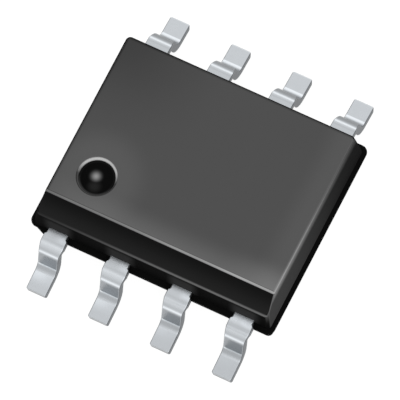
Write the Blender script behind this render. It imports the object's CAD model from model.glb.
"""Looks of a small-outline chip package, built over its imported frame.

Pieces are modelled in millimetres and shrunk to metres as each one is finished.
"""

import logging
import math
from contextlib import contextmanager
from dataclasses import dataclass
from enum import Enum
from functools import cached_property
from typing import Any, Callable, Iterator, Optional, Sequence, Union

import bmesh
import bpy
from mathutils import Matrix, Vector


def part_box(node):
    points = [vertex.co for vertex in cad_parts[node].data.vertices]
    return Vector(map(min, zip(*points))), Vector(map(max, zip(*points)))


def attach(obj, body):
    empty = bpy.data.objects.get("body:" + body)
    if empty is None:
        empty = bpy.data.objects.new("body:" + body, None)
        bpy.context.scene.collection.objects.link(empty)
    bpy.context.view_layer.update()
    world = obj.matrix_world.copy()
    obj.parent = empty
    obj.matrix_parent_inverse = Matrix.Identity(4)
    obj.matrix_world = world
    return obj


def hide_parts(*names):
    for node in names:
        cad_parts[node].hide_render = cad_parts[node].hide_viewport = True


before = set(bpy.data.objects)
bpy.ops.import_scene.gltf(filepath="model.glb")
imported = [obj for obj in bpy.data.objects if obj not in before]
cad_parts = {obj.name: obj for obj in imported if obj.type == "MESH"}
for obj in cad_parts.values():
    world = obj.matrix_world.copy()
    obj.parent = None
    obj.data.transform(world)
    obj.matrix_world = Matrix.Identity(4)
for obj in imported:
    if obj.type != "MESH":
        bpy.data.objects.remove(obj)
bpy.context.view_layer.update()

LOG = logging.getLogger("chip_package")
BODY = "root"

# Metres in a millimetre.
MM = 0.001
# Places that differ by less than this, in millimetres, are the same to a selection.
CLOSE = 1e-4
# Angles that differ by less than this, in radians, are the same to a selection.
CLOSE_ANGLE = 1e-3
# Doubled points closer than this, in millimetres, are merged, and those of a cut closer than its own.
MERGE = 1e-5
MERGE_IN_CUT = 1e-6
# How far a cutter reaches past what it cuts, in millimetres.
MARGIN = 0.1
# A face looks a certain way when this much of its normal points there.
ALIGNED = 0.99
# An edge is upright when its height is more than this many times its width.
STEEP = 3.0
# How much the large faces keep their own normals at their edges, up to 100.
FLATNESS = 90

Thing = bpy.types.Object
Edge = bmesh.types.BMEdge
Vertex = bmesh.types.BMVert
Colour = tuple[float, float, float, float]
Span = tuple[float, float]
Bands = tuple[tuple[float, float], ...]
Inputs = dict[Union[str, int], Any]


class Part(Enum):
    """Which elements of a mesh a selection is made of."""

    VERTS = "VERT"
    EDGES = "EDGE"
    FACES = "FACE"


class Row(Enum):
    """The two rows of leads, by the side of the body that they leave."""

    NEAR = -1
    FAR = 1


class Measure(Enum):
    """What a finish goes by: a place in millimetres, or a part of the surface's normal."""

    EAST = ("ShaderNodeTexCoord", "Object", 0, 1 / MM)
    NORTH = ("ShaderNodeTexCoord", "Object", 1, 1 / MM)
    HEIGHT = ("ShaderNodeTexCoord", "Object", 2, 1 / MM)
    FACE_X = ("ShaderNodeNewGeometry", "Normal", 0, 1.0)
    FACE_Y = ("ShaderNodeNewGeometry", "Normal", 1, 1.0)
    FACE_Z = ("ShaderNodeNewGeometry", "Normal", 2, 1.0)


EAST, NORTH, HEIGHT, FACE_X, FACE_Y, FACE_Z = Measure


class Bench:
    """Modelling steps on one object at a time, as they are done by hand."""

    @staticmethod
    def clear_selection() -> None:
        """Leaves nothing selected and nothing in edit mode."""
        if bpy.context.mode != "OBJECT":
            bpy.ops.object.mode_set(mode="OBJECT")
        bpy.ops.object.select_all(action="DESELECT")

    @staticmethod
    def work_on(obj: Thing) -> None:
        """Makes an object the only one selected, and the active one.

        Args:
            obj: The object that the next steps change.
        """
        Bench.clear_selection()
        obj.select_set(True)
        bpy.context.view_layer.objects.active = obj

    @staticmethod
    @contextmanager
    def editing(obj: Thing) -> Iterator[None]:
        """Opens an object's mesh for editing, and at the end tidies its normals and closes it.

        Args:
            obj: The object whose mesh the steps inside change.

        Yields:
            Nothing, with the mesh open.
        """
        Bench.work_on(obj)
        bpy.ops.object.mode_set(mode="EDIT")
        yield
        Bench.tidy_normals()
        bpy.ops.object.mode_set(mode="OBJECT")

    @staticmethod
    def added(name: str) -> Thing:
        """Names the object that was added last, and gives it back."""
        bpy.context.active_object.name = name
        return bpy.context.active_object

    @staticmethod
    def block(name: str, low: Sequence[float], high: Sequence[float]) -> Thing:
        """Adds a block between two corners.

        Args:
            name: The name of the new object.
            low: Its lowest corner, in millimetres.
            high: Its highest corner, in millimetres.

        Returns:
            The block, with its place in its mesh.
        """
        low, high = Vector(low), Vector(high)
        Bench.clear_selection()
        bpy.ops.mesh.primitive_cube_add(size=1.0, location=(low + high) / 2, scale=high - low)
        bpy.ops.object.transform_apply()
        return Bench.added(name)

    @staticmethod
    def pick(part: Part, test: Callable[[Any], bool]) -> None:
        """Selects the elements of the open mesh that pass a test, and no others.

        Args:
            part: Whether vertices, edges or faces are tested.
            test: Tells whether an element is wanted.
        """
        bpy.ops.mesh.select_mode(type=part.value)
        bpy.ops.mesh.select_all(action="DESELECT")
        mesh = bmesh.from_edit_mesh(bpy.context.edit_object.data)
        mesh.normal_update()
        elements = {Part.VERTS: mesh.verts, Part.EDGES: mesh.edges, Part.FACES: mesh.faces}[part]
        for element in [one for one in elements if test(one)]:
            element.select_set(True)
        mesh.select_flush_mode()
        bmesh.update_edit_mesh(bpy.context.edit_object.data)

    @staticmethod
    def slice(point: Sequence[float], normal: Sequence[float], cut_off: bool = False) -> None:
        """Adds edges round the open mesh where a plane crosses it.

        Args:
            point: A point of the plane.
            normal: The plane's normal.
            cut_off: Whether the normal's side is cut away and the cut is closed.
        """
        bpy.ops.mesh.select_mode(type=Part.FACES.value)
        bpy.ops.mesh.select_all(action="SELECT")
        bpy.ops.mesh.bisect(
            plane_co=point, plane_no=normal, use_fill=cut_off, clear_outer=cut_off,
            threshold=MERGE_IN_CUT,
        )

    @staticmethod
    def extrude(offset: Sequence[float]) -> None:
        """Extrudes the selected faces of the open mesh by an offset."""
        bpy.ops.mesh.extrude_region_move(TRANSFORM_OT_translate={"value": offset})

    @staticmethod
    def shift(east: float) -> None:
        """Moves what is selected in the open mesh along X."""
        bpy.ops.transform.translate(value=(east, 0, 0))

    @staticmethod
    def stretch(factors: Sequence[float], centre: Sequence[float] = (0, 0, 0)) -> None:
        """Scales what is selected in the open mesh about a centre."""
        bpy.ops.transform.resize(value=factors, center_override=centre)

    @staticmethod
    def round_off(radius: float, strips: int) -> None:
        """Rounds the selected edges of the open mesh, each over a number of strips."""
        bpy.ops.mesh.bevel(
            offset_type="OFFSET", offset=radius, segments=strips, profile=0.5,
            affect="EDGES", clamp_overlap=False,
        )

    @staticmethod
    def turned(name: str, axis: Sequence[float], rings: Sequence[Span], corners: int) -> Thing:
        """Adds a solid turned about an upright axis.

        Args:
            name: The name of the new object.
            axis: A point of the axis.
            rings: The radius and the height of each ring, from the lowest up.
            corners: The number of corners round each ring.

        Returns:
            The solid, with its place in its mesh.
        """
        radius, height = rings[0]
        Bench.clear_selection()
        bpy.ops.mesh.primitive_circle_add(
            vertices=corners, radius=radius, fill_type="NGON", location=(axis[0], axis[1], height)
        )
        bpy.ops.object.transform_apply()
        solid = Bench.added(name)
        with Bench.editing(solid):
            bpy.ops.mesh.select_all(action="SELECT")
            for next_radius, next_height in rings[1:]:
                Bench.extrude((0, 0, next_height - height))
                Bench.stretch((next_radius / radius, next_radius / radius, 1), axis)
                radius, height = next_radius, next_height
        return solid

    @staticmethod
    def tidy_normals() -> None:
        """Merges doubled vertices of the open mesh and turns every face outwards."""
        bpy.ops.mesh.select_all(action="SELECT")
        bpy.ops.mesh.remove_doubles(threshold=MERGE)
        bpy.ops.mesh.normals_make_consistent(inside=False)

    @staticmethod
    def modify(obj: Thing, kind: str, settings: dict[str, Any]) -> None:
        """Gives an object a modifier and applies it.

        Args:
            obj: The object to change.
            kind: The modifier's type.
            settings: The modifier's own properties.
        """
        Bench.work_on(obj)
        modifier = obj.modifiers.new(kind.lower(), kind)
        for name, value in settings.items():
            setattr(modifier, name, value)
        bpy.ops.object.modifier_apply(modifier=modifier.name)

    @staticmethod
    def cut_away(obj: Thing, cutter: Thing) -> None:
        """Takes one object away from another, and removes it."""
        Bench.modify(obj, "BOOLEAN", {"operation": "DIFFERENCE", "solver": "EXACT", "object": cutter})
        bpy.data.objects.remove(cutter)

    @staticmethod
    def polish(obj: Thing, angle: float) -> None:
        """Shades an object smooth, with its large faces kept flat.

        Args:
            obj: The object to shade.
            angle: The angle in degrees past which an edge stays sharp.
        """
        Bench.work_on(obj)
        bpy.ops.object.shade_smooth_by_angle(angle=math.radians(angle))
        Bench.modify(obj, "WEIGHTED_NORMAL", {"mode": "FACE_AREA", "weight": FLATNESS, "keep_sharp": True})

    @staticmethod
    def coat(obj: Thing, material: bpy.types.Material) -> None:
        """Gives an object one material in place of any others."""
        obj.data.materials.clear()
        obj.data.materials.append(material)


def math_node(operation: str, swapped: bool = False) -> Callable[..., "Signal"]:
    """Makes a method of Signal that gives the result of a new Math node.

    Args:
        operation: The node's operation.
        swapped: Whether the signal comes after the other value.

    Returns:
        The method.
    """

    def method(signal: "Signal", *others: Any) -> "Signal":
        """Adds the node, with the signal and the others, numbers or signals, as its inputs."""
        values = (*others, signal) if swapped else (signal, *others)
        return signal.shop.add("ShaderNodeMath", {"operation": operation}, dict(enumerate(values))).out()

    return method


class Signal:
    """A value socket of a shader, whose arithmetic adds Math nodes."""

    def __init__(self, shop: "MaterialShop", socket: bpy.types.NodeSocket) -> None:
        """Keeps an output socket and the shop of the material that it belongs to."""
        self.shop = shop
        self.socket = socket

    __add__ = math_node("ADD")
    __radd__ = math_node("ADD", swapped=True)
    __sub__ = math_node("SUBTRACT")
    __rsub__ = math_node("SUBTRACT", swapped=True)
    __mul__ = math_node("MULTIPLY")
    __rmul__ = math_node("MULTIPLY", swapped=True)
    __truediv__ = math_node("DIVIDE")
    size = math_node("ABSOLUTE")
    root = math_node("SQRT")
    past_whole = math_node("FRACT")
    most = math_node("MAXIMUM")
    least = math_node("MINIMUM")
    back_and_forth = math_node("PINGPONG")

    def ease(self, start: float, stop: float) -> "Signal":
        """A smooth step from 0 at one value to 1 at another, which may lie below it."""
        return self.shop.add(
            "ShaderNodeMapRange",
            {"interpolation_type": "SMOOTHSTEP", "clamp": True},
            {"Value": self, "From Min": start, "From Max": stop, "To Min": 0.0, "To Max": 1.0},
        ).out()


class Step:
    """A node that has been added to a material."""

    def __init__(self, shop: "MaterialShop", node: bpy.types.Node) -> None:
        """Keeps the node and the shop of the material that it belongs to."""
        self.shop = shop
        self.node = node

    def out(self, name: Union[str, int] = 0) -> Signal:
        """One of the node's outputs."""
        return Signal(self.shop, self.node.outputs[name])


class Zone:
    """A part of a surface: smooth steps along some measures, multiplied, at a strength."""

    def __init__(self, strength: float, *steps: tuple[Measure, float, float]) -> None:
        """Keeps the strength, and for each measure where the zone begins and where it is full."""
        self.strength = strength
        self.steps = steps


class MaterialShop:
    """The node tree of one material, world or floor, and the one way to add nodes to it."""

    def __init__(self, owner: Union[bpy.types.Material, bpy.types.World]) -> None:
        """Empties the node tree of a material or a world.

        Args:
            owner: The material or the world.
        """
        owner.use_nodes = True
        self.owner = owner
        self.tree = owner.node_tree
        self.tree.nodes.clear()

    def add(
        self, kind: str, settings: Optional[dict[str, Any]] = None, inputs: Optional[Inputs] = None
    ) -> Step:
        """Adds a node.

        Args:
            kind: The node's type.
            settings: The node's own properties, and a ramp's stops under "stops".
            inputs: Values, or signals to link, by the socket's name or number.

        Returns:
            The new node.
        """
        node = self.tree.nodes.new(kind)
        for name, value in (settings or {}).items():
            if name == "stops":
                self._set_stops(node.color_ramp, value)
            else:
                setattr(node, name, value)
        for name, value in (inputs or {}).items():
            if isinstance(value, Step):
                value = value.out()
            if isinstance(value, Signal):
                self.tree.links.new(value.socket, node.inputs[name])
            else:
                node.inputs[name].default_value = value
        return Step(self, node)

    @staticmethod
    def _set_stops(ramp: bpy.types.ColorRamp, stops: Sequence[tuple[float, Colour]]) -> None:
        """Gives a colour ramp its stops.

        Args:
            ramp: The ramp, which has no more stops than it is given.
            stops: Positions from 0 to 1 with their colours.
        """
        while len(ramp.elements) < len(stops):
            ramp.elements.new(1.0)
        for element, (position, colour) in zip(ramp.elements, stops):
            element.position = position
            element.color = colour

    def measure(self, what: Measure) -> Signal:
        """One of the things that a finish goes by."""
        kind, output, axis, scale = what.value
        return scale * self.add("ShaderNodeSeparateXYZ", None, {0: self.add(kind).out(output)}).out(axis)

    def zone(self, zone: Zone) -> Signal:
        """How much of its strength a zone has at each point."""
        steps = (self.measure(what).ease(start, stop) for what, start, stop in zone.steps)
        return math.prod(steps, start=zone.strength)

    def away_from(self, centre: Vector) -> Signal:
        """The level distance from an upright axis, in millimetres."""
        east, north = self.measure(EAST) - centre.x, self.measure(NORTH) - centre.y
        return (east * east + north * north).root()

    def clouds(self, size: float, detail: float, roughness: float = 0.5) -> Signal:
        """Soft random variation between 0 and 1.

        Args:
            size: The size of its patches, in millimetres.
            detail: How many finer layers it has.
            roughness: How strong the finer layers are.

        Returns:
            The variation.
        """
        place = self.add("ShaderNodeTexCoord").out("Object")
        inputs = {"Vector": place, "Scale": 1 / (size * MM), "Detail": detail, "Roughness": roughness}
        return self.add("ShaderNodeTexNoise", None, inputs).out(0)

    def bump(self, height: Signal, depth: float) -> Signal:
        """The normal of a relief whose height runs from 0 to a depth in millimetres."""
        inputs = {"Height": height, "Distance": depth * MM, "Strength": 1.0}
        return self.add("ShaderNodeBump", None, inputs).out()

    def paint(self, colour: Any, *coats: tuple[Signal, Any]) -> Any:
        """Lays colours over a first one.

        Args:
            colour: The first colour.
            coats: Masks from 0 to 1 with their colours, the lowest coat first.

        Returns:
            The mixed colour.
        """
        for mask, coat in coats:
            settings = {"data_type": "RGBA", "blend_type": "MIX"}
            colour = self.add("ShaderNodeMix", settings, {"Factor": mask, 6: colour, 7: coat}).out(2)
        return colour

    def finish(self, shader: Step, kind: str = "ShaderNodeOutputMaterial") -> None:
        """Links the last shader to the output."""
        self.add(kind, None, {"Surface": shader})

    def principled(self, inputs: Inputs) -> Any:
        """Finishes with a Principled shader, and gives the material."""
        self.finish(self.add("ShaderNodeBsdfPrincipled", None, inputs))
        return self.owner


class Finish:
    """A finish, which builds one material."""

    name: str

    @cached_property
    def shop(self) -> MaterialShop:
        """The shop that builds the material."""
        return MaterialShop(bpy.data.materials.new(self.name))


def grey(value: float) -> Colour:
    """A neutral colour of one brightness."""
    return (value, value, value, 1.0)


def packed(corner: int, axis: int) -> float:
    """A coordinate of the frame's body, in millimetres: corner 0 is its lowest, 1 its highest."""
    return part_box("moulded_body")[corner][axis] / MM


@dataclass(frozen=True)
class Strip:
    """The lead frame strip and the bends that form it, in millimetres and degrees."""

    pitch: float = 1.27
    thickness: float = 0.18
    width: float = 0.405
    stub_width: float = 0.47
    reach: float = 1.0125
    shoulder_out: float = 0.15
    shoulder_radius: float = 0.30
    foot_radius: float = 0.18
    leg_lean: float = 14.0
    foot_slope: float = 8.0
    underside: float = 0.675

    @property
    def top(self) -> float:
        """Height of the strip's top face where it leaves the body."""
        return self.underside + self.thickness

    @property
    def first_turn(self) -> float:
        """Angle of the bend at the shoulder, in radians."""
        return math.radians(90.0 - self.leg_lean)

    @property
    def second_turn(self) -> float:
        """Angle of the bend at the foot, in radians."""
        return self.first_turn - math.radians(self.foot_slope)

    def lengths(self) -> tuple[float, float]:
        """Works out the straight leg and foot that end the toe at its reach and on the board.

        Returns:
            The leg's and the foot's length.
        """
        first, slope = self.first_turn, math.radians(self.foot_slope)
        radii = self.shoulder_radius + self.foot_radius
        across = self.reach - self.shoulder_out - radii * math.sin(first) + self.foot_radius * math.sin(slope)
        outer = self.foot_radius + self.thickness
        down = outer * math.cos(slope) - radii * math.cos(first) - (self.top - self.shoulder_radius)
        leg = -(across * math.sin(slope) + down * math.cos(slope)) / math.sin(self.second_turn)
        foot = (down * math.cos(first) + across * math.sin(first)) / math.sin(self.second_turn)
        return leg, foot


@dataclass(frozen=True)
class Moulding:
    """Sizes of the moulded body, in millimetres and degrees."""

    flash_width: float = 0.07
    flash_height: float = 0.10
    flash_foot: float = 0.03
    flash_corner: float = 0.14
    break_x: float = 0.21
    break_y: float = 0.058
    break_along_side: float = 0.34
    draft: float = 8.0
    left_draft: float = 7.5
    right_draft: float = 4.7
    right_short: float = 0.022
    bevel_height: float = 0.375
    upright_radius: float = 0.09
    edge_radius: float = 0.027
    above_parting: float = 0.915
    bottom: float = packed(0, 2)
    top: float = packed(1, 2)
    outer_length: float = packed(1, 0)
    outer_width: float = packed(1, 1)

    @property
    def half_length(self) -> float:
        """Half of the body's length at the parting line, without flash."""
        return self.outer_length - self.flash_width

    @property
    def half_width(self) -> float:
        """Half of the body's width at the parting line, without flash."""
        return self.outer_width - self.flash_width

    @property
    def top_left(self) -> float:
        """Where the top face's left edge lies."""
        return self.above_parting * math.tan(math.radians(self.left_draft)) - self.half_length

    @property
    def top_right(self) -> float:
        """Where the top face's right edge lies."""
        lean = math.tan(math.radians(self.right_draft))
        return self.half_length - self.right_short - self.above_parting * lean

    @property
    def top_far(self) -> float:
        """Where the top face's far edge lies."""
        return self.half_width - self.above_parting * math.tan(math.radians(self.draft))


@dataclass(frozen=True)
class Mark:
    """The round mark of lead 1, in millimetres.

    The rings of its hollow floor are shares of the floor's radius. The lip's profile runs from its
    lowest point to above the top, as distances out from the rim and down, in lips.
    """

    from_end: float = 0.853
    from_side: float = 1.069
    rim_radius: float = 0.385
    floor_radius: float = 0.340
    wall_depth: float = 0.07
    wall_foot: float = 0.004
    hollow: float = 0.03
    lip: float = 0.008
    corners: int = 128
    floor_rings: tuple[float, ...] = (0.15, 0.3, 0.45, 0.6, 0.75, 0.87, 0.96)
    lip_profile: tuple[Span, ...] = ((-1.6, 1.6), (-0.8, 0.5), (0.4, 0.0), (3.0, -1.0))

    def centre(self, moulding: Moulding) -> Vector:
        """The middle of the mark on the package."""
        return Vector((self.from_end - moulding.half_length, self.from_side - moulding.half_width, 0.0))


@dataclass(frozen=True)
class MouldingFinish(Finish):
    """Black moulding compound: a fine satin top with rubbed edges, and darker, duller walls.

    Lengths are in millimetres. A span is a smooth step's start and its stop, and that of a ring round
    the mark counts from the rim's or the floor's radius.
    """

    mark: Mark
    strip: Strip
    moulding: Moulding
    name: str = "moulding_compound"
    top_colour: Colour = grey(0.0655)
    worn_top_colour: Colour = grey(0.165)
    wall_colour: Colour = grey(0.004)
    bevel_colour: Colour = grey(0.015)
    end_near_colour: Colour = grey(0.074)
    end_far_colour: Colour = grey(0.012)
    patch_colour: Colour = grey(0.034)
    rubbed_colour: Colour = grey(0.52)
    lip_colour: Colour = grey(0.64)
    spot_colour: Colour = grey(0.30)
    faded_colour: Colour = grey(0.60)
    top_sheen: float = 0.50
    bevel_sheen: float = 0.09
    wall_sheen: float = 0.05
    mark_sheen: float = 0.01
    roughness: float = 0.6
    coat_roughness: float = 0.50
    mottle_size: float = 0.9
    mottle_roughness: float = 0.15
    mottle_sheen: float = 0.14
    grain_size: float = 0.016
    grain_depth: float = 0.0010
    grain_roughness: float = 0.2

    top: Zone = Zone(1.0, (HEIGHT, 1.40, 1.50), (FACE_Z, 0.965, 0.995))
    near: Zone = Zone(1.0, (NORTH, 1.9, -1.9))
    end: Zone = Zone(1.0, (FACE_X, 0.8, 0.95), (HEIGHT, 0.70, 0.78))
    bevel: Zone = Zone(1.0, (FACE_Z, 0.6, 0.68), (FACE_Z, 0.85, 0.75), (FACE_Y, -0.5, -0.6))
    bevel_shade: Zone = Zone(1.0, (HEIGHT, 1.58, 1.22))

    handled: tuple[Zone, ...] = (
        Zone(0.22, (NORTH, -1.0, -1.6)),
        Zone(0.33, (NORTH, -1.0, -1.6), (EAST, -2.3, -0.6)),
        Zone(0.17, (EAST, 1.7, 2.2)),
        Zone(0.35, (EAST, 1.1, 2.2), (NORTH, -0.9, -1.3)),
    )
    halo: Span = (1.1, 0.5)
    halo_strength: float = 0.22
    shaded: Zone = Zone(0.50, (EAST, 0.0, -2.5), (NORTH, -0.2, 1.9))
    border: Span = (0.07, 0.02)
    border_strength: float = 0.6
    darkest: float = 0.9

    patchy_wear: Span = (0.7, 0.5)
    lit: Span = (0.08, 0.25)
    top_edge: Zone = Zone(1.0, (HEIGHT, 1.556, 1.568), (FACE_Z, 0.25, 0.45), (FACE_Z, 0.985, 0.93))
    top_edge_left: float = 0.36
    top_edge_gain: Zone = Zone(0.44, (EAST, -1.8, 2.0))
    beside_right: Zone = Zone(0.30, (FACE_Z, 0.9, 0.98), (HEIGHT, 1.5, 1.55))
    beside_span: Span = (0.055, 0.01)
    end_top: Zone = Zone(0.60, (HEIGHT, 1.36, 1.56), (FACE_X, 0.8, 0.95))
    far_share: float = 0.22
    foot_line: Zone = Zone(1.0, (FACE_Y, -0.6, -0.75))
    foot_line_span: Span = (0.042, 0.008)
    foot_line_below: float = 0.010
    foot_line_left: float = 0.05
    foot_line_gain: Zone = Zone(0.31, (EAST, -2.6, 1.2))
    upright: Zone = Zone(0.32, (FACE_X, 0.2, 0.45), (FACE_Y, -0.2, -0.45), (HEIGHT, 0.9, 1.5))

    sunk_below: Span = (0.0001, 0.002)
    sunk_ring: Span = (0.006, -0.090)
    worn_ring: Span = (0.02, 0.05)
    lip_ring: Span = (0.006, -0.018)
    lip_foot_ring: Span = (-0.004, 0.012)
    bare_way: Span = (-0.12, 0.98)
    bare_span: Span = (-0.10, 0.25)
    dull_span: Span = (0.12, 0.0)
    spot_radius: float = 0.178
    spot_offset: tuple[float, float, float] = (-0.035, 0.027, 0.0)
    smudge_core: float = 0.02
    smudge_offset: tuple[float, float, float] = (0.028, -0.169, 0.0)
    smudge_strength: float = 0.05
    floor_fade: float = 0.16
    floor_fade_ring: Span = (-0.040, 0.015)
    floor_fade_south: float = 0.3
    wall_fade: float = 0.78
    wall_fade_ring: Span = (0.0, 0.033)

    patch_half_width: Span = (0.36, 0.14)
    patch_height: Span = (0.36, 0.20)
    patch_foot: float = 0.1
    patch_face: Span = (0.9, 0.97)

    @cached_property
    def centre(self) -> Vector:
        """The round mark's middle."""
        return self.mark.centre(self.moulding)

    @cached_property
    def rim(self) -> Signal:
        """The distance from the round mark's middle."""
        return self.shop.away_from(self.centre)

    @cached_property
    def bare(self) -> Signal:
        """How far a point of the round mark lies on its bare side, away from lead 1's corner."""
        east, north = self.shop.measure(EAST) - self.centre.x, self.shop.measure(NORTH) - self.centre.y
        return (self.bare_way[0] * east + self.bare_way[1] * north).ease(*self.bare_span)

    def make(self) -> bpy.types.Material:
        """Builds the material.

        Returns:
            The material.
        """
        shop, mark = self.shop, self.mark
        mottle = shop.clouds(self.mottle_size, detail=3.0)
        grain = shop.clouds(self.grain_size, detail=3.0, roughness=0.6)
        start, stop = (self.moulding.top - below for below in self.sunk_below)
        sunk = self._ring(mark.rim_radius, self.sunk_ring) * shop.measure(HEIGHT).ease(start, stop)
        top = shop.zone(self.top) * (1 - sunk)
        bevel = shop.zone(self.bevel)
        end = shop.paint(self.end_far_colour, (shop.zone(self.near), self.end_near_colour))
        least, patchy = self.patchy_wear
        worn = self._rubbed() * self._ring(mark.rim_radius, self.worn_ring) * (least + patchy * mottle)
        colour = shop.paint(
            self.wall_colour,
            (shop.zone(self.end), end),
            (bevel * shop.zone(self.bevel_shade), self.bevel_colour),
            (self._above_leads(), self.patch_colour),
            (top, self._top()),
            (worn, self.rubbed_colour),
            (self._fade() * self.bare.ease(*self.dull_span) * sunk, self.faded_colour),
            (self._lip(), self.lip_colour),
            (self._spot() * sunk, self.spot_colour),
        )
        sheen = self.wall_sheen
        for mask, level in ((top, self.top_sheen), (bevel, self.bevel_sheen), (sunk, self.mark_sheen)):
            sheen = sheen + (level - self.wall_sheen) * mask
        roughness = self.roughness + self.mottle_roughness * (mottle - 0.5)
        return shop.principled(
            {
                "Base Color": colour,
                "Roughness": roughness + self.grain_roughness * (grain - 0.5),
                "Specular IOR Level": 0.0,
                "Coat Weight": sheen * (1 + self.mottle_sheen * (mottle - 0.5)),
                "Coat Roughness": self.coat_roughness,
                "Normal": shop.bump(grain, self.grain_depth),
            }
        )

    def _ring(self, radius: float, span: Span) -> Signal:
        """A smooth step across a ring round the mark, with its span given from a radius."""
        return self.rim.ease(radius + span[0], radius + span[1])

    def _top(self) -> Signal:
        """The top's colour: handled paler towards lead 1's side, darker along the far and left edges.

        Returns:
            The colour.
        """
        shop, size = self.shop, self.moulding
        handled = sum(map(shop.zone, self.handled)) + self.halo_strength * self.rim.ease(*self.halo)
        wide, narrow = self.border
        left = shop.measure(EAST).ease(size.top_left + wide, size.top_left + narrow)
        far = shop.measure(NORTH).ease(size.top_far - wide, size.top_far - narrow)
        dark = (shop.zone(self.shaded) + self.border_strength * left.most(far)).least(self.darkest)
        return shop.paint(self.top_colour, (handled, self.worn_top_colour), (dark, self.wall_colour))

    def _rubbed(self) -> Signal:
        """How bare the rubbed edges are: the top's near and right edge, the bevel's foot, an upright edge.

        Returns:
            The mask.
        """
        shop, size = self.shop, self.moulding
        lit = (shop.measure(FACE_X) - shop.measure(FACE_Y)).ease(*self.lit)
        edge = shop.zone(self.top_edge) * lit * (self.top_edge_left + shop.zone(self.top_edge_gain))
        start, stop = (size.top_right - inside for inside in self.beside_span)
        edge = edge.most(shop.zone(self.beside_right) * shop.measure(EAST).ease(start, stop))
        near = self.far_share + (1 - self.far_share) * shop.zone(self.near)
        foot = size.top - size.bevel_height - self.foot_line_below
        line = (shop.measure(HEIGHT) - foot).size().ease(*self.foot_line_span) * shop.zone(self.foot_line)
        line = line * (self.foot_line_left + shop.zone(self.foot_line_gain))
        return (edge.most(shop.zone(self.end_top)) * near).most(line).most(shop.zone(self.upright))

    def _fade(self) -> Signal:
        """How the mark's dull side pales, first on its floor and then up its wall.

        Returns:
            The mask.
        """
        radius, start = self.mark.floor_radius, self.centre.y
        near = self.shop.measure(NORTH).ease(start, start - self.floor_fade_south)
        floor = self.floor_fade * self._ring(radius, self.floor_fade_ring) * near
        return floor + self.wall_fade * self._ring(radius, self.wall_fade_ring)

    def _lip(self) -> Signal:
        """The rubbed lip of the round mark, on its bare side."""
        foot = self._ring(self.mark.floor_radius, self.lip_foot_ring)
        return self._ring(self.mark.rim_radius, self.lip_ring) * foot * self.bare

    def _spot(self) -> Signal:
        """The pale spot on the mark's floor, and the faint smudge beside it.

        Returns:
            The mask.
        """
        spot, smudge = (
            self.shop.away_from(self.centre + Vector(offset)).ease(self.spot_radius, core)
            for offset, core in ((self.spot_offset, 0.0), (self.smudge_offset, self.smudge_core))
        )
        return (spot * spot).most(self.smudge_strength * smudge)

    def _above_leads(self) -> Signal:
        """The paler patches of the near and far wall right above the leads.

        Returns:
            The mask.
        """
        shop, pitch, top = self.shop, self.strip.pitch, self.strip.top
        beside = (shop.measure(EAST) / pitch - 0.5).back_and_forth(0.5) * pitch
        start, stop = (top + above for above in self.patch_height)
        patch = beside.ease(*self.patch_half_width) * shop.measure(HEIGHT).ease(start, stop)
        patch = patch * shop.measure(HEIGHT).ease(top - self.patch_foot, top)
        return patch * shop.measure(FACE_Y).size().ease(*self.patch_face)


@dataclass(frozen=True)
class FlashFinish(Finish):
    """The rough dark rim where compound squeezed out between the mould halves."""

    name: str = "mould_flash"
    colour: Colour = grey(0.0016)
    roughness: float = 0.8
    ragged_size: float = 0.05
    ragged_depth: float = 0.006
    ragged_roughness: float = 0.15

    def make(self) -> bpy.types.Material:
        """Builds the material.

        Returns:
            The material.
        """
        ragged = self.shop.clouds(self.ragged_size, detail=4.0, roughness=0.7)
        return self.shop.principled(
            {
                "Base Color": self.colour,
                "Roughness": self.roughness + self.ragged_roughness * (ragged - 0.5),
                "Specular IOR Level": 0.05,
                "Normal": self.shop.bump(ragged, self.ragged_depth),
            }
        )


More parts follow.
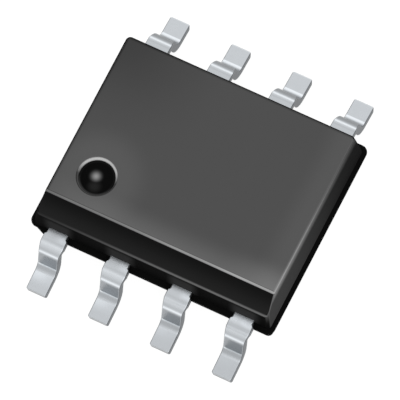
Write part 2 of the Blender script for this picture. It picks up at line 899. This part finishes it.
@dataclass(frozen=True)
class TinFinish(Finish):
    """Matt tin plate on the formed leads, burnished and dulled in bands where the dies bent it.

    The bands go by the surface's lean along Y: from -1, straight towards the near side, to 1. Each one is
    the lean, in this range, and the brightness there. The foot and its bend have bands of their own.
    Bright patches lie on the near leads' stubs and heels, and darker ones on their crowns. Those spans
    named for a side of a lead go by the place along the pitch, with 0.5 at the lead's own middle.
    """

    strip: Strip
    name: str = "tin_plate"
    bands: Bands = (
        (-1.000, 0.20), (-0.972, 0.37), (-0.950, 0.38), (-0.920, 0.48), (-0.893, 0.72), (-0.855, 0.86),
        (-0.810, 0.62), (-0.750, 0.50), (-0.574, 0.60), (-0.375, 0.66), (-0.174, 0.52), (-0.060, 0.57),
        (0.060, 0.58), (0.160, 0.52), (0.290, 0.64), (0.375, 0.94), (0.430, 0.84), (0.500, 0.52),
        (0.560, 0.38), (0.690, 0.26), (0.820, 0.24), (0.920, 0.28), (0.970, 0.27), (1.000, 0.20),
    )
    foot_bands: Bands = (
        (-1.000, 0.20), (-0.972, 0.37), (-0.948, 0.56), (-0.918, 0.98), (-0.880, 0.62), (-0.820, 0.43),
        (-0.600, 0.44), (-0.400, 0.51), (-0.250, 0.62), (-0.160, 0.60), (-0.120, 0.55), (0.120, 0.545),
        (0.150, 0.66), (0.220, 0.93), (0.340, 0.93), (0.440, 0.84), (0.540, 0.58), (0.660, 0.40),
        (0.800, 0.27), (0.900, 0.26), (0.970, 0.28), (1.000, 0.20),
    )
    side_colour: Colour = (0.165, 0.175, 0.185, 1.0)
    bright_colour: Colour = (0.75, 0.79, 0.83, 1.0)
    tint: tuple[float, float, float] = (0.955, 1.0, 1.045)
    roughness: float = 0.28
    side_roughness: float = 0.2
    mottle_roughness: float = 0.06
    mottle_dulling: float = 0.08
    mottle_size: float = 0.16
    grain_size: float = 0.020
    grain_depth: float = 0.00012

    foot: Zone = Zone(1.0, (HEIGHT, 0.46, 0.40))
    flat: Zone = Zone(1.0, (FACE_Z, 0.95, 0.99))
    stub: Zone = Zone(1.0, (HEIGHT, 0.83, 0.85), (NORTH, 0.0, -1.0), (NORTH, -2.16, -2.06))
    stub_by_row: Zone = Zone(0.80, (EAST, -0.3, 2.0))
    stub_right: Span = (0.47, 0.62)
    stub_right_strength: float = 0.65
    heel: Zone = Zone(1.0, (HEIGHT, 0.30, 0.27), (NORTH, -2.86, -2.60), (NORTH, -2.0, -2.1))
    heel_strength: float = 0.75
    heel_fading: Zone = Zone(0.60, (EAST, -2.4, 2.2))
    heel_left: Span = (0.62, 0.42)
    heel_left_share: Span = (0.60, 0.75)
    brightest: float = 0.9
    dulled: tuple[Zone, ...] = (
        Zone(0.10, (EAST, -1.6, 1.8), (HEIGHT, 0.46, 0.40), (NORTH, 0.0, -1.0)),
        Zone(0.28, (FACE_Y, -0.16, -0.30), (FACE_Y, -0.56, -0.44), (HEIGHT, 0.5, 0.6), (EAST, -1.3, 1.9)),
    )
    below: Zone = Zone(1.0, (FACE_Z, 0.05, -0.15))
    sideways: Span = (0.25, 0.65)

    def _banded(self, bands: Bands) -> Signal:
        """The colour that a set of bands gives a surface, in the tin's faintly cool grey.

        Args:
            bands: Leans from -1 to 1, each with its brightness.

        Returns:
            The colour.
        """
        stops = []
        for lean, brightness in bands:
            stops.append(((lean + 1) / 2, (*(min(part * brightness, 1.0) for part in self.tint), 1.0)))
        place = 0.5 * self.shop.measure(FACE_Y) + 0.5
        return self.shop.add("ShaderNodeValToRGB", {"stops": stops}, {0: place}).out()

    def make(self) -> bpy.types.Material:
        """Builds the material.

        Returns:
            The material.
        """
        shop = self.shop
        mottle = shop.clouds(self.mottle_size, detail=4.0, roughness=0.6)
        sides = shop.measure(FACE_X).size().ease(*self.sideways)
        across = (shop.measure(EAST) / self.strip.pitch).past_whole()
        least, more = self.heel_left_share
        heel = shop.zone(self.heel) * (self.heel_strength - shop.zone(self.heel_fading))
        heel = heel * (least + more * across.ease(*self.heel_left))
        right = self.stub_right_strength * across.ease(*self.stub_right)
        stub = shop.zone(self.stub) * (shop.zone(self.stub_by_row) + right)
        bright = (stub.most(heel) * shop.zone(self.flat)).least(self.brightest)
        colour = shop.paint(
            self._banded(self.bands),
            (shop.zone(self.foot), self._banded(self.foot_bands)),
            (bright, self.bright_colour),
            (self.mottle_dulling * mottle + sum(map(shop.zone, self.dulled)), self.side_colour),
            (sides.most(shop.zone(self.below)), self.side_colour),
        )
        roughness = self.roughness + self.mottle_roughness * (mottle - 0.5)
        grain = shop.clouds(self.grain_size, detail=2.0, roughness=0.6)
        return shop.principled(
            {
                "Base Color": colour,
                "Metallic": 1.0,
                "Roughness": roughness + self.side_roughness * sides,
                "Normal": shop.bump(grain, self.grain_depth),
            }
        )


@dataclass(frozen=True)
class InnerFinish(Finish):
    """A finish of a piece inside the body: its colour with a fine grain.

    The grain's size is in millimetres, and its depth a share of its size.
    """

    name: str
    colour: Colour
    metallic: float
    roughness: float
    grain_size: float
    grain_depth: float = 0.05
    grain_roughness: float = 0.1
    dark_share: float = 0.8

    def make(self) -> bpy.types.Material:
        """Builds the material.

        Returns:
            The material.
        """
        grain = self.shop.clouds(self.grain_size, detail=3.0, roughness=0.6)
        dark = tuple(self.dark_share * channel for channel in self.colour[:3]) + (1.0,)
        return self.shop.principled(
            {
                "Base Color": self.shop.paint(dark, (grain, self.colour)),
                "Metallic": self.metallic,
                "Roughness": self.roughness + self.grain_roughness * (grain - 0.5),
                "Normal": self.shop.bump(grain, self.grain_depth * self.grain_size),
            }
        )


@dataclass
class MouldedBody:
    """The moulded body with its bevel, round mark and rim of flash, in millimetres and degrees."""

    moulding: Moulding
    mark: Mark
    strip: Strip
    top_frame: float = 0.02
    rounded_past: float = 25.0
    shell_crease: float = 30.0
    flash_crease: float = 40.0
    upright_strips: int = 6
    edge_strips: int = 4
    flash_overrun: float = 1.5

    def build(self) -> list[Thing]:
        """Makes the body's pieces.

        Returns:
            The shell and its rim of flash.
        """
        shell = self._shell()
        Bench.cut_away(shell, self._mark_cutter())
        self._frame_top(shell)
        Bench.polish(shell, self.shell_crease)
        rim = self._flash()
        Bench.polish(rim, self.flash_crease)
        compound = MouldingFinish(self.mark, self.strip, self.moulding)
        dress(shell, compound.make(), "moulded_body")
        dress(rim, FlashFinish().make(), "moulded_body")
        return [shell, rim]

    def _shell(self) -> Thing:
        """Models the drafted block with its bevel and rounded edges.

        Returns:
            The block.
        """
        size, parting = self.moulding, self.strip.underside
        half_l, half_w = size.half_length, size.half_width
        shell = Bench.block("body_shell", (-half_l, -half_w, size.bottom), (half_l, half_w, size.top))
        walls = (
            (1, 0, half_l - size.right_short, size.right_draft),
            (-1, 0, half_l, size.left_draft),
            (0, 1, half_w, size.draft),
            (0, -1, half_w, size.draft),
        )
        with Bench.editing(shell):
            for x, y, reach, draft in walls:
                lean, level = math.sin(math.radians(draft)), math.cos(math.radians(draft))
                for slope in (lean, -lean):
                    Bench.slice((x * reach, y * reach, parting), (x * level, y * level, slope), cut_off=True)
            bevel_foot = size.top - size.bevel_height
            wall_there = half_w - (bevel_foot - parting) * math.tan(math.radians(size.draft))
            Bench.slice((0, -wall_there, bevel_foot), (0, -1, 1), cut_off=True)
            Bench.pick(Part.EDGES, self._is_upright)
            Bench.round_off(size.upright_radius, self.upright_strips)
            Bench.pick(Part.EDGES, self._is_sharp)
            Bench.round_off(size.edge_radius, self.edge_strips)
        return shell

    def _frame_top(self, shell: Thing) -> None:
        """Insets the top face, so that the rounded edges and the lip don't shade its middle.

        Args:
            shell: The body after the mark has been cut, which leaves doubled points at the mark's rim.
        """
        level = self.moulding.top - CLOSE
        with Bench.editing(shell):
            Bench.tidy_normals()
            Bench.pick(
                Part.FACES,
                lambda face: face.normal.z > ALIGNED and min(vertex.co.z for vertex in face.verts) > level,
            )
            bpy.ops.mesh.inset(thickness=self.top_frame, use_even_offset=True)

    @staticmethod
    def _is_upright(edge: Edge) -> bool:
        """Tells the upright edges at the four corners from all others."""
        run = edge.verts[1].co - edge.verts[0].co
        return abs(run.z) > STEEP * max(abs(run.x), abs(run.y)) and len(edge.link_faces) == 2

    def _is_sharp(self, edge: Edge) -> bool:
        """Tells the sharp edges above and below the parting line.

        Args:
            edge: An edge of the shell.

        Returns:
            Whether it is one of them.
        """
        sharp = edge.calc_face_angle(0.0) >= math.radians(self.rounded_past)
        height = (edge.verts[0].co + edge.verts[1].co).z / 2
        return sharp and abs(height - self.strip.underside) > self.moulding.flash_height

    def _mark_cutter(self) -> Thing:
        """Models the shape of the round mark: a hollow floor, a sloping wall and a rounded lip.

        Returns:
            The cutter.
        """
        mark, top = self.mark, self.moulding.top
        rings = [
            (share * mark.floor_radius, mark.wall_depth + mark.hollow * (1 - share * share))
            for share in mark.floor_rings
        ]
        rings.append((mark.floor_radius, mark.wall_depth - mark.wall_foot))
        rings += [(mark.rim_radius + out * mark.lip, down * mark.lip) for out, down in mark.lip_profile]
        rings = [(radius, top - depth) for radius, depth in rings]
        return Bench.turned("mark_cutter", mark.centre(self.moulding), rings, mark.corners)

    def _flash(self) -> Thing:
        """Models the rim of flash: a thin sheet that slopes up to the walls, broken away beside lead 1.

        Returns:
            The rim.
        """
        size, parting = self.moulding, self.strip.underside
        length, width = size.outer_length, size.outer_width
        high = (length - size.right_short, width, parting + size.flash_foot)
        rim = Bench.block("flash_rim", (-length, -width, parting), high)
        Bench.cut_away(rim, self._break_cutter())
        ends = length - 2 * size.right_short
        rise = self.flash_overrun * (size.flash_height - size.flash_foot)
        lean = size.flash_height * math.tan(math.radians(size.draft))
        inset = self.flash_overrun * (size.flash_width + lean)
        with Bench.editing(rim):
            Bench.pick(Part.EDGES, lambda edge: self._is_upright(edge) and abs(edge.verts[0].co.x) > ends)
            Bench.round_off(size.flash_corner, self.upright_strips)
            Bench.pick(Part.FACES, lambda face: face.normal.z > ALIGNED)
            Bench.extrude((0, 0, rise))
            Bench.stretch((1 - inset / length, 1 - inset / width, 1), (0, 0, parting))
        return rim

    def _break_cutter(self) -> Thing:
        """Models the piece of flash that is broken away beside lead 1.

        Returns:
            The cutter.
        """
        size = self.moulding
        corner = Vector((-size.outer_length, -size.outer_width, self.strip.underside))
        high = corner + Vector((size.break_x, size.break_y, 2 * size.flash_height))
        cutter = Bench.block("flash_break", corner - Vector((MARGIN, MARGIN, MARGIN)), high)
        side_slope = (size.break_along_side - size.break_x) / size.break_y
        with Bench.editing(cutter):
            Bench.pick(Part.VERTS, lambda vertex: vertex.co.x > corner.x and vertex.co.y < corner.y)
            Bench.shift(side_slope * (size.break_y + MARGIN))
        return cutter


@dataclass
class LeadRow:
    """The eight formed leads, copied to their places from two patterns, in millimetres and degrees."""

    strip: Strip
    moulding: Moulding
    per_row: int = 4
    finger_width: float = 0.60
    root_cover: float = 0.33
    head_length: float = 0.38
    end_tip: float = 0.60
    frame_cover: float = 0.25
    lock_diameter: float = 0.18
    lock_setback: float = 0.11
    lock_corners: int = 48
    stub_flank: float = 0.03
    edge_radius: float = 0.022
    edge_strips: int = 3
    rounded_past: float = 50.0
    toe_radius: float = 0.035
    toe_strips: int = 4
    bend_steps: int = 14
    crease: float = 35.0

    def build(self) -> list[Thing]:
        """Makes the eight leads.

        Returns:
            The leads in the order of their numbers.
        """
        tin = TinFinish(self.strip).make()
        last_place = (self.per_row - 1) / 2
        wide_side = self.moulding.half_length - self.frame_cover - last_place * self.strip.pitch
        middle_tip = self.moulding.half_width - self.root_cover - self.head_length
        middle = self._lead("lead_pattern_middle", self.finger_width / 2, middle_tip)
        end = self._lead("lead_pattern_end", wide_side, self.end_tip)
        leads = []
        for number in range(1, 2 * self.per_row + 1):
            row = Row.NEAR if number <= self.per_row else Row.FAR
            place = -row.value * ((number - 1) % self.per_row - last_place)
            Bench.work_on(end if abs(place) == last_place else middle)
            bpy.ops.object.duplicate(linked=False)
            lead = Bench.added(f"formed_lead_{number}")
            with Bench.editing(lead):
                bpy.ops.mesh.select_all(action="SELECT")
                Bench.stretch((-1 if place < 0 else 1, row.value, 1))
                Bench.shift(place * self.strip.pitch)
            Bench.polish(lead, self.crease)
            dress(lead, tin, f"lead_{number}")
            leads.append(lead)
        for pattern in (middle, end):
            bpy.data.objects.remove(pattern)
        return leads

    def _lead(self, name: str, right: float, tip: float) -> Thing:
        """Models one lead on its own centre line, pointing to +Y, with its wide side to +X.

        Args:
            name: The name of the pattern.
            right: How far the finger's head reaches to the right of the centre line.
            tip: Distance from the middle of the package to the finger's tip.

        Returns:
            The finished pattern.
        """
        strip, half_w = self.strip, self.moulding.half_width
        half = strip.width / 2
        flank = self.finger_width / 2 - half
        root_y = half_w - self.root_cover
        head_y = root_y - flank
        stub_y = half_w + self.moulding.flash_width
        stub_end = stub_y + self.stub_flank
        shoulder_y = half_w + strip.shoulder_out
        lead = Bench.block(name, (-half, tip, strip.underside), (half, shoulder_y, strip.top))
        with Bench.editing(lead):
            for y in (head_y, root_y, stub_y, stub_end):
                Bench.slice((0, y, 0), (0, 1, 0))
            for side, offset in ((-1, -flank), (1, right - half)):
                Bench.pick(Part.VERTS, lambda vertex: vertex.co.y < head_y + CLOSE and vertex.co.x * side > 0)
                Bench.shift(offset)
            Bench.pick(Part.VERTS, lambda vertex: vertex.co.y > stub_end - CLOSE)
            Bench.stretch((strip.stub_width / strip.width, 1, 1))
            self._form(shoulder_y)
        rings = [(self.lock_diameter / 2, z) for z in (strip.underside - MARGIN, strip.top + MARGIN)]
        hole = Bench.turned("lock_hole", (0, root_y - self.lock_setback, 0), rings, self.lock_corners)
        Bench.cut_away(lead, hole)
        rounding = {
            "width": self.edge_radius,
            "segments": self.edge_strips,
            "limit_method": "ANGLE",
            "angle_limit": math.radians(self.rounded_past),
            "use_clamp_overlap": False,
        }
        Bench.modify(lead, "BEVEL", rounding)
        return lead

    def _form(self, shoulder_y: float) -> None:
        """Bends the open strip down to its leg and out to its foot.

        Args:
            shoulder_y: Distance from the middle of the package to the start of the first bend.
        """
        strip = self.strip
        leg, foot = strip.lengths()
        first, slope = strip.first_turn, math.radians(strip.foot_slope)
        centre = Vector((0, shoulder_y, strip.top - strip.shoulder_radius))
        self._pick_end(Vector((0, 1, 0)), shoulder_y - CLOSE)
        bpy.ops.mesh.spin(steps=self.bend_steps, angle=first, center=centre, axis=(1, 0, 0))
        self._narrow(centre)
        down = Vector((0, math.cos(first), -math.sin(first)))
        self._pick_end(down, shoulder_y)
        Bench.extrude(leg * down)
        out = Vector((0, math.sin(first), math.cos(first)))
        centre = centre + leg * down + (strip.shoulder_radius + strip.foot_radius) * out
        bpy.ops.mesh.spin(
            steps=self.bend_steps, angle=-strip.second_turn, center=centre, axis=(1, 0, 0)
        )
        Bench.extrude((0, foot * math.cos(slope), -foot * math.sin(slope)))
        toe_y = self.moulding.half_width + strip.reach
        Bench.pick(Part.EDGES, lambda edge: self._is_toe_corner(edge, toe_y))
        Bench.round_off(self.toe_radius, self.toe_strips)

    @staticmethod
    def _pick_end(facing: Vector, past_y: float) -> None:
        """Selects the end face of the open strip, by the way it faces and a Y that it lies beyond."""
        Bench.pick(
            Part.FACES,
            lambda face: face.normal.dot(facing) > ALIGNED and face.calc_center_median().y > past_y,
        )

    def _narrow(self, centre: Vector) -> None:
        """Takes the bend back from the stub's width to the leg's, ring by ring.

        Args:
            centre: The centre of the first bend.
        """
        strip = self.strip
        inner = strip.shoulder_radius - strip.thickness
        reach = strip.shoulder_radius * math.sin(strip.first_turn)
        for ring in range(1, self.bend_steps + 1):
            angle = strip.first_turn * ring / self.bend_steps
            share = (strip.shoulder_radius * math.sin(angle) - inner) / (reach - inner)
            if share > 0:
                Bench.pick(Part.VERTS, lambda vertex: self._is_turned(vertex, centre, angle))
                Bench.stretch((1 + (strip.width / strip.stub_width - 1) * share, 1, 1))

    def _is_toe_corner(self, edge: Edge, toe_y: float) -> bool:
        """Tells the two upright edges at the end of the foot."""
        run, end = edge.verts[1].co - edge.verts[0].co, min(vertex.co.y for vertex in edge.verts)
        return abs(run.x) < CLOSE and end > toe_y - self.toe_radius and abs(run.z) > self.strip.thickness / 2

    @staticmethod
    def _is_turned(vertex: Vertex, centre: Vector, angle: float) -> bool:
        """Tells the vertices that lie at an angle round the centre of a bend."""
        offset = vertex.co - centre
        return offset.y > CLOSE and abs(math.atan2(offset.y, offset.z) - angle) < CLOSE_ANGLE


@dataclass
class InnerPieces:
    """The pieces inside the body, which keep their frame shapes and get finishes."""

    paddle: InnerFinish = InnerFinish("copper_paddle", (0.72, 0.43, 0.26, 1.0), 1.0, 0.35, 0.03)
    adhesive: InnerFinish = InnerFinish("silver_adhesive", (0.62, 0.60, 0.56, 1.0), 0.3, 0.6, 0.02)
    die: InnerFinish = InnerFinish("silicon", (0.17, 0.18, 0.22, 1.0), 0.6, 0.2, 0.05)
    wire: InnerFinish = InnerFinish("gold_wire", (0.83, 0.62, 0.20, 1.0), 1.0, 0.25, 0.01)
    wires: int = 8

    def dress_all(self) -> list[Thing]:
        """Gives each inner piece its finish.

        Returns:
            The pieces.
        """
        groups = {
            self.paddle: ["die_paddle"],
            self.adhesive: ["die_attach"],
            self.die: ["silicon_die"],
            self.wire: [f"bond_wire_{number}" for number in range(1, self.wires + 1)],
        }
        pieces = []
        for finish, nodes in groups.items():
            material = finish.make()
            for node in nodes:
                Bench.coat(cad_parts[node], material)
                pieces.append(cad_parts[node])
        return pieces


def dress(piece: Thing, material: bpy.types.Material, node: str) -> None:
    """Finishes a modelled piece: real size, material, body, slot and the node it stands for.

    Args:
        piece: The piece, in millimetres.
        material: Its material.
        node: The frame's node that the piece stands for.
    """
    Bench.work_on(piece)
    piece.scale = (MM, MM, MM)
    piece.location = piece.location * MM
    bpy.ops.object.transform_apply()
    Bench.coat(piece, material)
    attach(piece, BODY)
    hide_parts(node)


@dataclass(frozen=True)
class PhotoCamera:
    """The photograph's view, fitted to the package's own edges, in degrees, millimetres and pixels."""

    azimuth: float = 34.659
    elevation: float = 69.424
    roll: float = 8.600
    distance: float = 152.244
    px_per_mm: float = 54.217
    origin_px: tuple[float, float] = (201.071, 200.594)
    image_px: int = 400
    sensor: float = 36.0
    clip: Span = (10.0, 10000.0)

    def build(self) -> None:
        """Adds the camera and makes it the scene's own."""
        az, el, roll = (math.radians(angle) for angle in (self.azimuth, self.elevation, self.roll))
        right = Vector((math.cos(az), math.sin(az), 0))
        back = Vector((math.sin(az) * math.cos(el), -math.cos(az) * math.cos(el), math.sin(el)))
        up = back.cross(right)
        turned_right = right * math.cos(roll) - up * math.sin(roll)
        turned_up = right * math.sin(roll) + up * math.cos(roll)
        half = self.image_px / 2
        aside = (self.origin_px[0] - half) / self.px_per_mm
        above = (half - self.origin_px[1]) / self.px_per_mm
        place = back * self.distance - turned_right * aside - turned_up * above
        Bench.clear_selection()
        bpy.ops.object.camera_add(location=place * MM)
        camera = Bench.added("photo_camera")
        camera.rotation_euler = Matrix((turned_right, turned_up, back)).transposed().to_euler()
        camera.data.sensor_width = self.sensor
        camera.data.lens = self.sensor * self.px_per_mm * self.distance / self.image_px
        camera.data.clip_start, camera.data.clip_end = (distance * MM for distance in self.clip)
        bpy.context.scene.camera = camera


@dataclass(frozen=True)
class Softbox:
    """A square area lamp, aimed at the package, in degrees, metres and watts."""

    name: str
    azimuth: float
    elevation: float
    distance: float
    size: float
    power: float

    def build(self) -> None:
        """Adds the lamp."""
        az, el = math.radians(self.azimuth), math.radians(self.elevation)
        towards = Vector((math.cos(az) * math.cos(el), math.sin(az) * math.cos(el), math.sin(el)))
        Bench.clear_selection()
        bpy.ops.object.light_add(type="AREA", location=towards * self.distance)
        lamp = Bench.added(self.name)
        lamp.data.shape = "SQUARE"
        lamp.data.size = self.size
        lamp.data.energy = self.power
        lamp.rotation_euler = (-towards).to_track_quat("-Z", "Y").to_euler()
        lamp.visible_camera = False


@dataclass
class Studio:
    """The pale floor, the soft lamp and the surroundings. The floor's size is in metres."""

    lamp: Softbox = Softbox("front_softbox", -55.0, 50.0, 0.060, 0.050, 0.0079)
    floor_size: float = 0.8
    floor_colour: float = 0.20
    floor_glow: float = 0.93
    sky_seen: float = 1.0
    sky_light: float = 0.8

    def build(self) -> None:
        """Sets up everything round the object."""
        self._floor()
        self._world()
        self.lamp.build()
        bpy.context.scene.view_settings.view_transform = "Standard"

    @staticmethod
    def _seen(shop: MaterialShop) -> Signal:
        """Tells where the background is looked at: straight on, in gloss or through glass."""
        rays = shop.add("ShaderNodeLightPath")
        return rays.out("Is Camera Ray").most(rays.out("Is Transmission Ray")).most(rays.out("Is Glossy Ray"))

    def _floor(self) -> None:
        """Adds a pale floor under the feet, white to the eye, that keeps the object's shadow."""
        Bench.clear_selection()
        bpy.ops.mesh.primitive_plane_add(size=self.floor_size, location=(0, 0, 0))
        floor = Bench.added("floor")
        shop = MaterialShop(bpy.data.materials.new("pale_floor"))
        paper = shop.add("ShaderNodeBsdfDiffuse", None, {"Color": grey(self.floor_colour)})
        seen = self._seen(shop) * self.floor_glow
        glow = shop.add("ShaderNodeEmission", None, {"Color": grey(1.0), "Strength": seen})
        shop.finish(shop.add("ShaderNodeAddShader", None, {0: paper, 1: glow}))
        Bench.coat(floor, shop.owner)

    def _world(self) -> None:
        """Adds white surroundings that light the object at a plain level."""
        world = bpy.data.worlds.new("surroundings")
        bpy.context.scene.world = world
        shop = MaterialShop(world)
        level = self.sky_light + (self.sky_seen - self.sky_light) * self._seen(shop)
        glow = shop.add("ShaderNodeBackground", None, {"Color": grey(1.0), "Strength": level})
        shop.finish(glow, "ShaderNodeOutputWorld")


def main() -> None:
    """Builds the package, the camera and the studio, and reports each piece."""
    logging.basicConfig(level=logging.INFO, format="%(name)s: %(message)s")
    PhotoCamera().build()
    strip, moulding = Strip(), Moulding()
    pieces = MouldedBody(moulding, Mark(), strip).build()
    pieces += LeadRow(strip, moulding).build()
    pieces += InnerPieces().dress_all()
    for piece in pieces:
        LOG.info("%s: %d faces", piece.name, len(piece.data.polygons))
    Studio().build()
    Bench.clear_selection()


if __name__ == "__main__":
    main()
